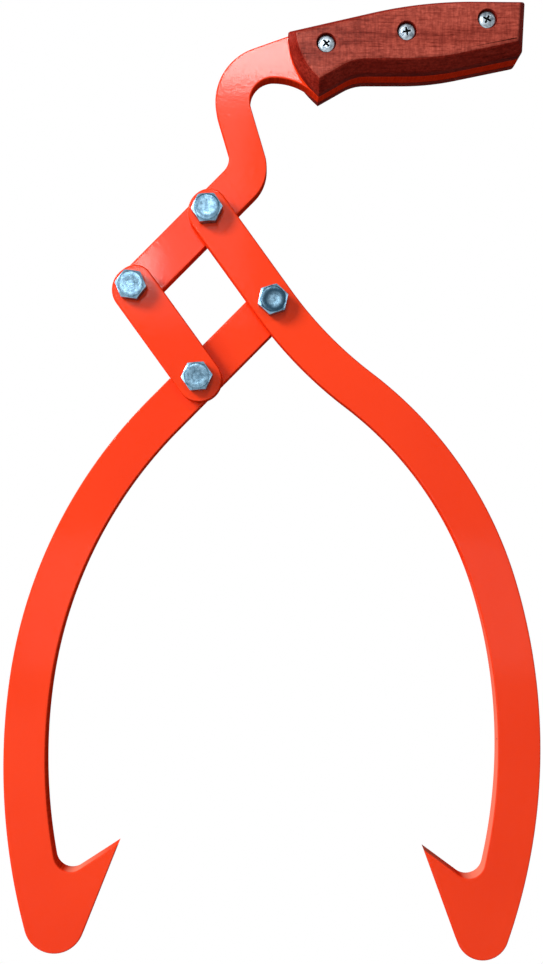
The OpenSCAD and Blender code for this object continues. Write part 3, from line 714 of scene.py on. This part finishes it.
ENAMEL = paint_finish("orange_enamel", ENAMEL_FACE, ENAMEL_DEEP, coat=0.060)
for name, ring, near, far, holes in (
        ("right_tine", right_ring, FRONT_NEAR, FRONT_FAR, [(TOP_BOLT, BORE_R), (RIGHT_BOLT, BORE_R)]),
        ("left_tine", left_ring, BACK_NEAR, BACK_FAR, [(RIGHT_BOLT, BORE_R), (BOTTOM_BOLT, BORE_R)]),
        ("link", link_ring, FRONT_NEAR, FRONT_FAR, [(LEFT_BOLT, BORE_R), (BOTTOM_BOLT, LOOSE_BORE_R)])):
    bar = painted_bar("painted_" + name, ring, near, far, holes, round_r=0.8, finishes=(ENAMEL, ON_CUT))
    # Painted sheen on the cut edges that face the key light.
    painted_sheen_marked(bar)
    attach(bar, name)
    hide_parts(name)


# ---- Pivot bolts
# M10 hexagon bolts, plated with bluish zinc, put in from the front. The head is chamfered to a circle and has
# a forged dish in its top; the end of the thread stands out of the lock nut at the back.

HEX_HALF, CHAMFER_FROM, CHAMFER_SLOPE, HEX_EASE = 7.5, 6.75, 0.5759, 0.25
HEAD_SEAT, SEAT_R, BOLT_HEAD_H, BOLT_TIP = -12.4, 6.0, 6.4, 17.6
# The first and last radius of the rings in the dish and on the rim, and how many there are
DISH_RINGS, RIM_RINGS = (0.3, 5.4, 26), (5.6, CHAMFER_FROM - 0.12, 6)
CONE_SHARES = (0.0, 0.12, 0.5, 0.9, 1.0)
DISH_DEPTH, DISH_FLAT_R, DISH_RUN = 0.2, 1.5, 4.3
RIM_FALL, RIM_POWER, CONE_FALL = 0.12, 8, 0.08
BOLT_R, CREST_R, PLAIN_TO = 5.0, 4.98, 3.0
THREAD_FROM, THREAD_TO, THREAD_STEPS = 3.2, BOLT_TIP - 0.8, 96
THREAD_DEPTH, THREAD_PITCH, ROOT_RISE, FLANK_SLOPE = 0.5, 1.5, 1.15, 1.3
POINT = ((4.35, BOLT_TIP - 0.3), (4.0, BOLT_TIP))
HEX_COUNT = 144
CIRCLE_DULL, CIRCLE_HALF, DULL_TO = 0.8, 0.2, 0.3


def hexagon_radius(turn):
    """Radius of a hexagon with a corner at turn: half its width over the cosine of the angle off a flat."""
    degrees = np.arange(HEX_COUNT) * 360.0 / HEX_COUNT
    return HEX_HALF / np.cos(np.radians((degrees - turn) % 60.0 - 30.0))


def bolt_head(edge, top):
    """Steps of a head: dish, rim, the chamfer's cone, flats, and the underside in to the shank."""
    inner = np.concatenate([np.linspace(*DISH_RINGS), np.linspace(*RIM_RINGS)])
    rise = np.clip((inner - DISH_FLAT_R) / DISH_RUN, 0, 1)
    dish = DISH_DEPTH * (1 - rise ** 2 * (3 - 2 * rise)) + RIM_FALL * (inner / CHAMFER_FROM) ** RIM_POWER
    cone = [
        (CHAMFER_FROM + share * (edge - CHAMFER_FROM),
         top + CONE_FALL + CHAMFER_SLOPE * share * (edge - CHAMFER_FROM))
        for share in CONE_SHARES]
    return [*zip(inner, top + dish), *cone, (edge, cone[-1][1] + HEX_EASE), (edge, HEAD_SEAT - HEX_EASE),
            (edge - HEX_EASE, HEAD_SEAT), (SEAT_R, HEAD_SEAT), (BOLT_R, HEAD_SEAT)]


def bolt_shank():
    """Steps of a shank: plain, a thread whose groove is a clipped ramp of the helix's phase, a point."""
    y = np.linspace(THREAD_FROM, THREAD_TO, THREAD_STEPS)
    phase = (y[:, None] / THREAD_PITCH - np.arange(HEX_COUNT) / HEX_COUNT) % 1.0
    groove = THREAD_DEPTH * np.clip(ROOT_RISE - np.abs(2 * phase - 1) * FLANK_SLOPE, 0, 1)
    return [(BOLT_R, PLAIN_TO), *zip(CREST_R - groove, y), *POINT]


def bolt(name, centre, turn, dark_ring):
    """A hexagon bolt: its head, with a corner at the angle turn, and its shank, closed at both ends.

    The dark ring (right, up, radius, half width, strength) is a painted dark reflection about a place near
    the head's middle, fading as a bell curve on both sides of its radius. The chamfer's circle gets a painted
    dark line in the same way.
    """
    top = HEAD_SEAT - BOLT_HEAD_H
    rings = turned(bolt_head(hexagon_radius(turn), top) + bolt_shank(), centre, HEX_COUNT)
    points, faces = closed(rings, [centre[0], top + DISH_DEPTH, centre[1]], [centre[0], BOLT_TIP, centre[1]])
    piece = made(name, points, faces, sharp=24.0)
    # Painted dark reflections on the head's top: a ring of its own and a thin line on the chamfer's circle.
    right, up, dark_ring_r, half_width, strength = dark_ring
    away = points[:, [0, 2]] - centre
    r, r_dark_ring = np.linalg.norm(away, axis=1), np.linalg.norm(away - (right, up), axis=1)
    dull = strength * np.exp(-((r_dark_ring - dark_ring_r) / half_width) ** 2)
    ringed = CIRCLE_DULL * np.exp(-((r - CHAMFER_FROM) / CIRCLE_HALF) ** 2)
    marked(piece, "painted_shade", np.where(points[:, 1] < top + DULL_TO, np.clip(dull + ringed, 0, 1), 0))
    return piece


# The last colour is the painted dark of the reflections marked on the heads.
ZINC = plate_finish(
    "blue_zinc", (0.20, 0.34, 0.45), (0.09, 0.17, 0.24), roughness=0.16, scratch=0.00005,
    painted_shade=(0.012, 0.035, 0.06))
# Each bolt's painted dark ring, which stands in for the dark reflections on its top.
PAINTED_DARK_RINGS = {"top": (0.3, 0.6, 5.7, 1.0, 0.65), "left": (-0.2, 0.2, 2.4, 0.5, 0.25),
          "right": (0.9, -0.4, 5.2, 2.2, 0.92), "bottom": (0.2, -0.3, 2.7, 0.6, 0.4)}
PIVOTS = (("top", TOP_BOLT, 3.5, "handle"), ("left", LEFT_BOLT, -8.0, "handle"),
          ("right", RIGHT_BOLT, 17.5, "left_tine"), ("bottom", BOTTOM_BOLT, 4.7, "left_tine"))
for label, centre, turn, body in PIVOTS:
    piece = bolt("zinc_bolt_" + label, centre, turn, PAINTED_DARK_RINGS[label])
    piece.data.materials.append(ZINC)
    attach(piece, body)
    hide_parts("bolt_" + label)


# ---- Washers and lock nuts
# At the back each bolt has a flat stamped washer and a lock nut: a chamfered hexagon, and behind it a crimped
# collar that holds a nylon ring. They are plated like the bolts.

WASHER_R, WASHER_BORE_R, WASHER_BACK = 10.0, 5.25, 6.0
ROLLED = ((0.35, 0.0), (0.1, 0.1), (0.0, 0.35))
NUT_BORE_R, COLLAR_START, NUT_BACK = 5.05, 13.0, 16.0
COLLAR_R, COLLAR_WALL, LIP_R, LIP_T = 7.13, 0.9, 5.35, 0.6
SHOULDER = 0.6
CRIMP = ((0.0, 1.1), (0.25, 0.45), (0.8, 0.08), (1.3, 0.0))
RING_BORE_R, RING_FRONT = NUT_BORE_R + 0.02, COLLAR_START + 0.05
CROWN = ((6.16, 15.35), (5.7, 15.38), (5.3, 15.38), (RING_BORE_R, 15.1))


def band_of(name, steps, centre, count=72, sharp=35.0):
    """A turned piece whose last step joins its first one again."""
    points, quads = skin(turned(steps, centre, count), loop=True)
    return made(name, points, [quads], sharp)


def washer(name, centre):
    """A flat ring whose outer corners are rolled over by the stamping."""
    front = [(WASHER_R - inward, BACK_FAR + deep) for inward, deep in ROLLED]
    back = [(WASHER_R - inward, WASHER_BACK - deep) for inward, deep in ROLLED[::-1]]
    return band_of(name, [(WASHER_BORE_R, BACK_FAR), *front, *back, (WASHER_BORE_R, WASHER_BACK)], centre)


def lock_nut(name, centre, turn):
    """Bearing face, chamfered flats, collar, its crimped lip, the nylon ring's seat and the bore."""
    edge = hexagon_radius(turn)
    cone = CHAMFER_SLOPE * (edge - CHAMFER_FROM)
    hexagon = [
        (NUT_BORE_R, WASHER_BACK), (CHAMFER_FROM, WASHER_BACK),
        ((CHAMFER_FROM + edge) / 2, WASHER_BACK + cone / 2), (edge, WASHER_BACK + cone),
        (edge, COLLAR_START - cone),
        ((1 - SHOULDER) * CHAMFER_FROM + SHOULDER * edge, COLLAR_START - SHOULDER * cone)]
    collar = [
        (COLLAR_R, COLLAR_START - CHAMFER_SLOPE * (COLLAR_R - CHAMFER_FROM)),
        *((COLLAR_R - inward, NUT_BACK - deep) for inward, deep in CRIMP)]
    seat = [
        (LIP_R, NUT_BACK), (LIP_R, NUT_BACK - LIP_T), (COLLAR_R - COLLAR_WALL, NUT_BACK - LIP_T),
        (COLLAR_R - COLLAR_WALL, COLLAR_START), (NUT_BORE_R, COLLAR_START)]
    return band_of(name, hexagon + collar + seat, centre, HEX_COUNT, sharp=24.0)


def nylon_ring(name, centre):
    """A ring with a slightly crowned back, which shows inside the collar's lip."""
    return band_of(name, [(RING_BORE_R, RING_FRONT), (CROWN[0][0], RING_FRONT), *CROWN], centre)


def nylon_finish():
    """Dyed nylon: an even blue with a faint mottle and a soft sheen."""
    material, nodes, links, shader = new_material("blue_nylon", Roughness=0.42, Subsurface_Weight=0.05)
    mottle = noise_of(nodes, links, 900.0, 2.0)
    tone = ramp_of(nodes, links, mottle, [(0.3, (0.03, 0.07, 0.33)), (0.7, (0.05, 0.10, 0.42))])
    links.new(tone, shader.inputs["Base Color"])
    bump_of(nodes, links, shader, [(mottle, 0.00003)])
    return material


NYLON = nylon_finish()
for label, centre, turn, body in PIVOTS:
    for piece, node, finish, slot_name in (
            (washer("zinc_washer_" + label, centre), "washer_", ZINC, "zinc_nut"),
            (lock_nut("zinc_lock_nut_" + label, centre, turn), "lock_nut_", ZINC, "zinc_nut"),
            (nylon_ring("nylon_insert_" + label, centre), "nylon_ring_", NYLON, "nylon")):
        piece.data.materials.append(finish)
        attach(piece, body)
        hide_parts(node + label)


# ---- Studio
# A pale floor below the hooks, a white surround and a key box at the upper left in front, with weaker ones
# at both sides and behind. Four weak ones in front are mirrored in the crook, the neck, the lever and the
# tines. The camera is level with the middle of the tool. Boxes and camera are placed in metres.

FLOOR_UP, FLOOR_T = -600.0, 6.0
FLOOR_CORNERS = [((-800, -900), 200), ((650, -900), 200), ((650, 110), 60), ((-800, 110), 60)]


def shown(nodes, links):
    """1 on the rays that show the surroundings themselves: from the camera, off gloss and through glass."""
    path = nodes.new("ShaderNodeLightPath")
    seen = path.outputs["Is Camera Ray"]
    for ray in ("Is Glossy Ray", "Is Transmission Ray"):
        either = nodes.new("ShaderNodeMath")
        either.operation = "MAXIMUM"
        links.new(seen, either.inputs[0])
        links.new(path.outputs[ray], either.inputs[1])
        seen = either.outputs[0]
    return seen


def studio_floor():
    """A flat pale sheet with round corners, which ends before the camera would begin to see it."""
    ring = rounded(FLOOR_CORNERS)
    points, quads = skin(np.stack([placed(ring, 0.0), placed(ring, -FLOOR_T)])[:, :, [0, 2, 1]])
    faces = [quads[:, ::-1], cap([ring], [0], True), cap([ring], [len(ring)], False)]
    floor = made("studio_floor", points + [0, 0, FLOOR_UP], faces)
    material, nodes, links, shader = new_material("pale_sheet", Roughness=0.9, Specular_IOR_Level=0.1)
    tone = mixed(nodes, links, shown(nodes, links), (0.25, 0.25, 0.25, 1), (0.93, 0.93, 0.93, 1))
    links.new(tone, shader.inputs["Base Color"])
    floor.data.materials.append(material)


def white_world(fill):
    """White to the camera, to reflections and through glass; a weaker even fill on everything else."""
    world = bpy.data.worlds.new("white_surround")
    bpy.context.scene.world = world
    world.use_nodes = True
    nodes, links = world.node_tree.nodes, world.node_tree.links
    dim, bright = nodes["Background"], nodes.new("ShaderNodeBackground")
    for background, strength in ((dim, fill), (bright, 1.0)):
        background.inputs["Color"].default_value = (1, 1, 1, 1)
        background.inputs["Strength"].default_value = strength
    mix = nodes.new("ShaderNodeMixShader")
    links.new(shown(nodes, links), mix.inputs["Fac"])
    links.new(dim.outputs["Background"], mix.inputs[1])
    links.new(bright.outputs["Background"], mix.inputs[2])
    links.new(mix.outputs["Shader"], nodes["World Output"].inputs["Surface"])


def soft_box(name, place, target, width, height, power):
    """An oblong area lamp that faces its target."""
    lamp = bpy.data.lights.new(name, "AREA")
    lamp.shape, lamp.size, lamp.size_y, lamp.energy = "RECTANGLE", width, height, power
    holder = bpy.data.objects.new(name, lamp)
    holder.location = place
    holder.rotation_euler = (Vector(target) - Vector(place)).to_track_quat("-Z", "Y").to_euler()
    bpy.context.scene.collection.objects.link(holder)


studio_floor()
white_world(0.05)
soft_box("box_key", (-1.85, -1.28, 1.12), (-0.10, 0, -0.20), 0.80, 0.80, 68.0)
soft_box("box_side", (-1.60, -0.86, -0.10), (-0.05, 0, -0.25), 0.30, 1.05, 8.8)
soft_box("box_right", (1.45, -0.85, -0.10), (0.0, 0, -0.25), 0.20, 1.60, 4.4)
soft_box("box_back", (-1.30, 1.30, 0.50), (-0.10, 0, -0.20), 0.60, 0.60, 26.0)
soft_box("box_above", (-0.105, -1.00, 0.49), (-0.105, 0, 0.49), 0.19, 0.14, 2.4)
soft_box("box_glow", (-0.27, -1.00, 0.22), (-0.27, 0, 0.22), 0.31, 0.40, 0.8)
soft_box("box_low", (-0.06, -1.00, -0.45), (-0.06, 0, -0.45), 0.90, 0.22, 0.8)
soft_box("box_small", (-0.283, -0.96, 0.108), (-0.283, 0, 0.108), 0.035, 0.07, 0.16)

camera = bpy.data.objects.new("camera", bpy.data.cameras.new("camera"))
camera.data.lens, camera.data.sensor_width = 33.27, 36.0
camera.data.clip_start = 0.02
camera.location = (-0.074, -0.5023, -0.2465)
camera.rotation_euler = (np.pi / 2, 0, 0)
bpy.context.scene.collection.objects.link(camera)
bpy.context.scene.camera = camera
bpy.context.scene.view_settings.view_transform = "Standard"
